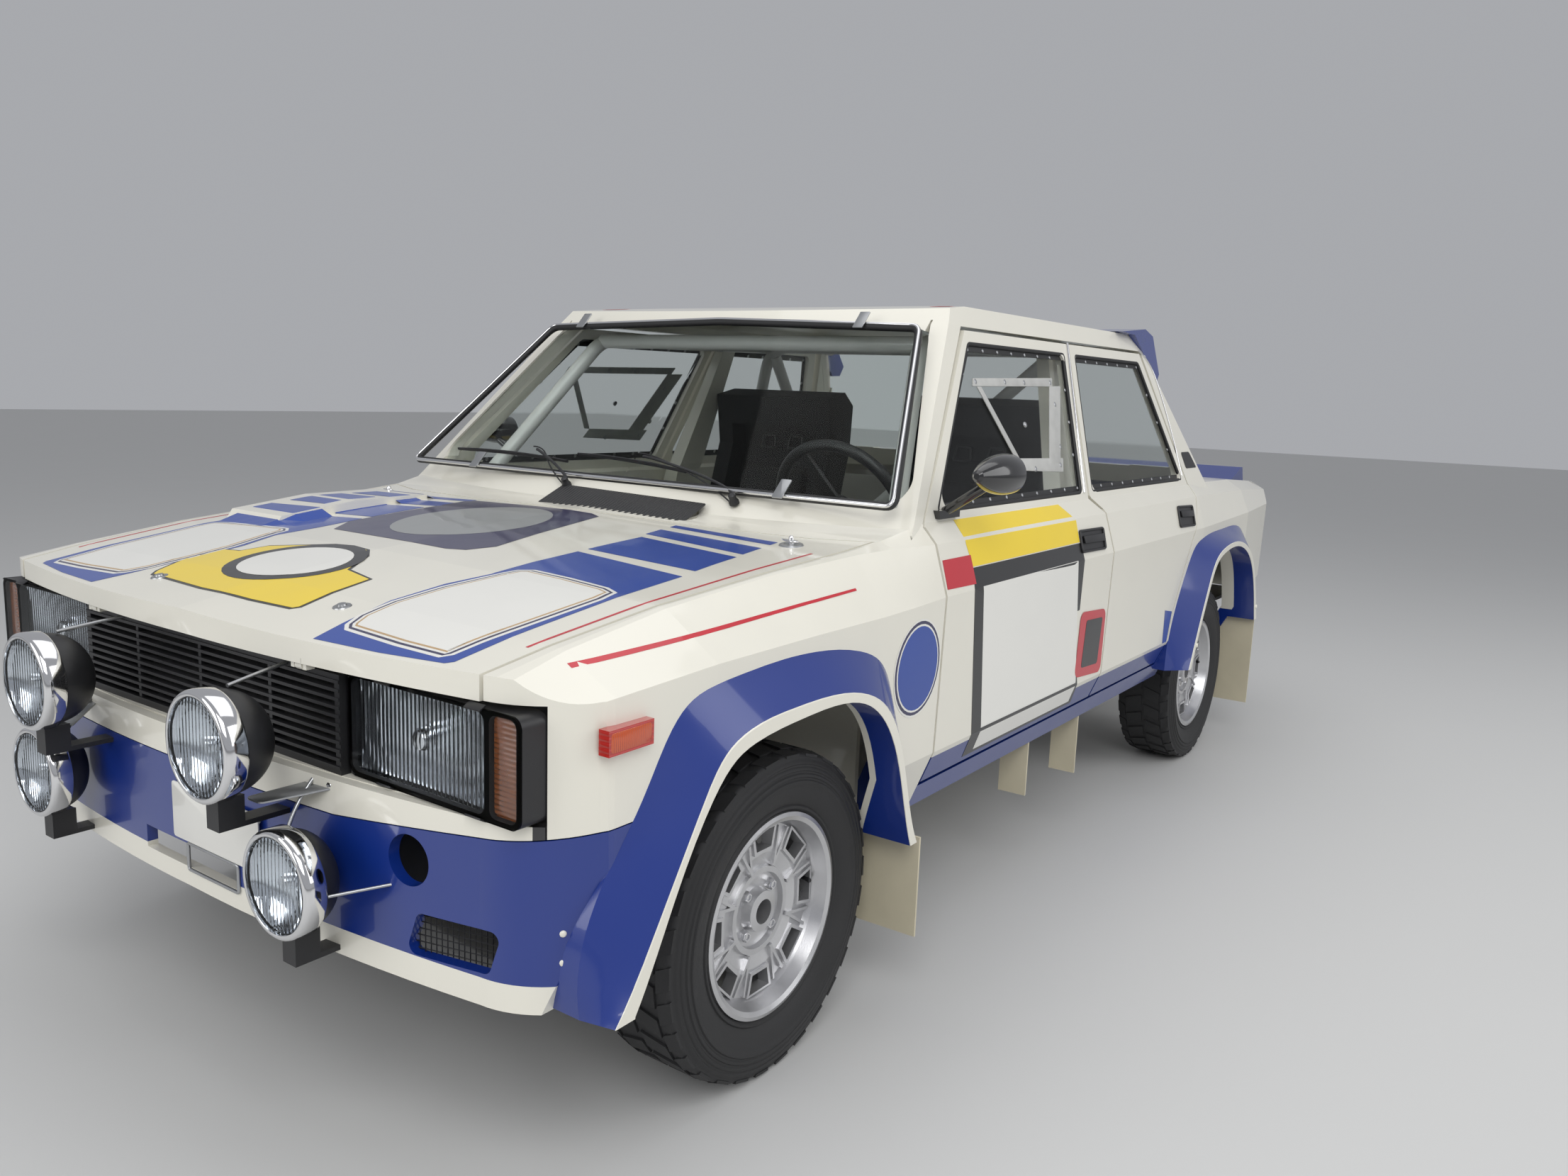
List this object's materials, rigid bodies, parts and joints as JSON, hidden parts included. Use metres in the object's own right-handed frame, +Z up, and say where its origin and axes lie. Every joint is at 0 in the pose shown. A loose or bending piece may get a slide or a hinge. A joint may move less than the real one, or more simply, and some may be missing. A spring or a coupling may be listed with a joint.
{
  "type": "rally car",
  "caption": "Four-door saloon prepared for rallying, with flared arches, driving lamps, opening doors, bonnet and boot, steered front wheels and a caged cabin.",
  "frame": {"origin": "on the ground under the middle of the car's length and width", "axes": "+X towards the nose, +Y to the car's left, +Z up"},
  "size_m": [4.141, 1.7814, 1.41],
  "materials": {
    "body_white": "gloss",
    "body_blue": "gloss",
    "under_paint": "satin",
    "under_black": "satin",
    "clear_glass": "clear",
    "black_plastic": "matte",
    "lamp_chrome": "polished",
    "signal_red": "gloss",
    "cage_white": "gloss",
    "seat_fabric": "matte",
    "engine_iron": "satin",
    "pipe_steel": "satin",
    "flap_plastic": "satin",
    "tyre": "matte",
    "wheel_silver": "satin"
  },
  "bodies": {
    "body": {"floor_pan": "under_paint", "side_frames": "body_white", "roof_panel": "body_white", "windscreen": "clear_glass", "rear_window": "clear_glass", "cowl_firewall": "body_white", "rear_panel": "body_white", "front_wings": "body_white", "nose_frame": "under_paint", "front_valance": "body_blue", "wheel_flares": "body_blue", "grille": "black_plastic", "headlamps": "lamp_chrome", "lamp_glass": "clear_glass", "spot_lamps": "black_plastic", "signal_lamps": "signal_red", "dashboard": "black_plastic", "roll_cage": "cage_white", "bucket_seats": "seat_fabric", "engine_block": "engine_iron", "front_suspension": "under_black", "rear_axle": "under_black", "exhaust": "pipe_steel", "mud_flaps": "flap_plastic", "roof_spoiler": "body_blue"},
    "front_door_left": {"front_door_left": "body_white", "front_glass_left": "clear_glass", "mirror_left": "black_plastic"},
    "rear_door_left": {"rear_door_left": "body_white", "rear_glass_left": "clear_glass"},
    "knuckle_left": {"knuckle_left": "under_black"},
    "wheel_front_left": {"tyre_front_left": "tyre", "rim_front_left": "wheel_silver"},
    "wheel_rear_left": {"tyre_rear_left": "tyre", "rim_rear_left": "wheel_silver"},
    "front_door_right": {"front_door_right": "body_white", "front_glass_right": "clear_glass", "mirror_right": "black_plastic"},
    "rear_door_right": {"rear_door_right": "body_white", "rear_glass_right": "clear_glass"},
    "knuckle_right": {"knuckle_right": "under_black"},
    "wheel_front_right": {"tyre_front_right": "tyre", "rim_front_right": "wheel_silver"},
    "wheel_rear_right": {"tyre_rear_right": "tyre", "rim_rear_right": "wheel_silver"},
    "bonnet": {"bonnet": "body_white"},
    "boot_lid": {"boot_lid": "body_white"},
    "steering_wheel": {"steering_wheel": "black_plastic"}
  },
  "joints": [
    {"name": "front_door_left_hinge", "type": "hinge", "parent": "body", "child": "front_door_left", "pos_m": [0.8065, 0.79, 0.7], "axis": [0, 0, -1], "range_deg": [0, 65]},
    {"name": "rear_door_left_hinge", "type": "hinge", "parent": "body", "child": "rear_door_left", "pos_m": [-0.1185, 0.79, 0.7], "axis": [0, 0, -1], "range_deg": [0, 65]},
    {"name": "steer_left", "type": "hinge", "parent": "body", "child": "knuckle_left", "pos_m": [1.3315, 0.6, 0.29], "axis": [0, 0, 1], "range_deg": [-30, 30]},
    {"name": "wheel_front_left_spin", "type": "hinge", "parent": "knuckle_left", "child": "wheel_front_left", "pos_m": [1.3315, 0.678, 0.29], "axis": [0, 1, 0], "continuous": true},
    {"name": "wheel_rear_left_spin", "type": "hinge", "parent": "body", "child": "wheel_rear_left", "pos_m": [-1.0925, 0.678, 0.29], "axis": [0, 1, 0], "continuous": true},
    {"name": "front_door_right_hinge", "type": "hinge", "parent": "body", "child": "front_door_right", "pos_m": [0.8065, -0.79, 0.7], "axis": [0, 0, 1], "range_deg": [0, 65]},
    {"name": "rear_door_right_hinge", "type": "hinge", "parent": "body", "child": "rear_door_right", "pos_m": [-0.1185, -0.79, 0.7], "axis": [0, 0, 1], "range_deg": [0, 65]},
    {"name": "steer_right", "type": "hinge", "parent": "body", "child": "knuckle_right", "pos_m": [1.3315, -0.6, 0.29], "axis": [0, 0, 1], "range_deg": [-30, 30]},
    {"name": "wheel_front_right_spin", "type": "hinge", "parent": "knuckle_right", "child": "wheel_front_right", "pos_m": [1.3315, -0.678, 0.29], "axis": [0, 1, 0], "continuous": true},
    {"name": "wheel_rear_right_spin", "type": "hinge", "parent": "body", "child": "wheel_rear_right", "pos_m": [-1.0925, -0.678, 0.29], "axis": [0, 1, 0], "continuous": true},
    {"name": "bonnet_hinge", "type": "hinge", "parent": "body", "child": "bonnet", "pos_m": [1.9255, 0, 0.762], "axis": [0, 1, 0], "range_deg": [0, 75]},
    {"name": "boot_lid_hinge", "type": "hinge", "parent": "body", "child": "boot_lid", "pos_m": [-1.1485, 0, 0.934], "axis": [0, 1, 0], "range_deg": [0, 80]},
    {"name": "steering_wheel_turn", "type": "hinge", "parent": "body", "child": "steering_wheel", "pos_m": [0.5315, 0.345, 0.905], "axis": [-0.9135, 0, 0.4067], "range_deg": [-480, 480]}
  ],
  "couplings": [
    {"joint": "steer_right", "follows": "steer_left", "ratio": 1},
    {"joint": "steering_wheel_turn", "follows": "steer_left", "ratio": 16}
  ]
}
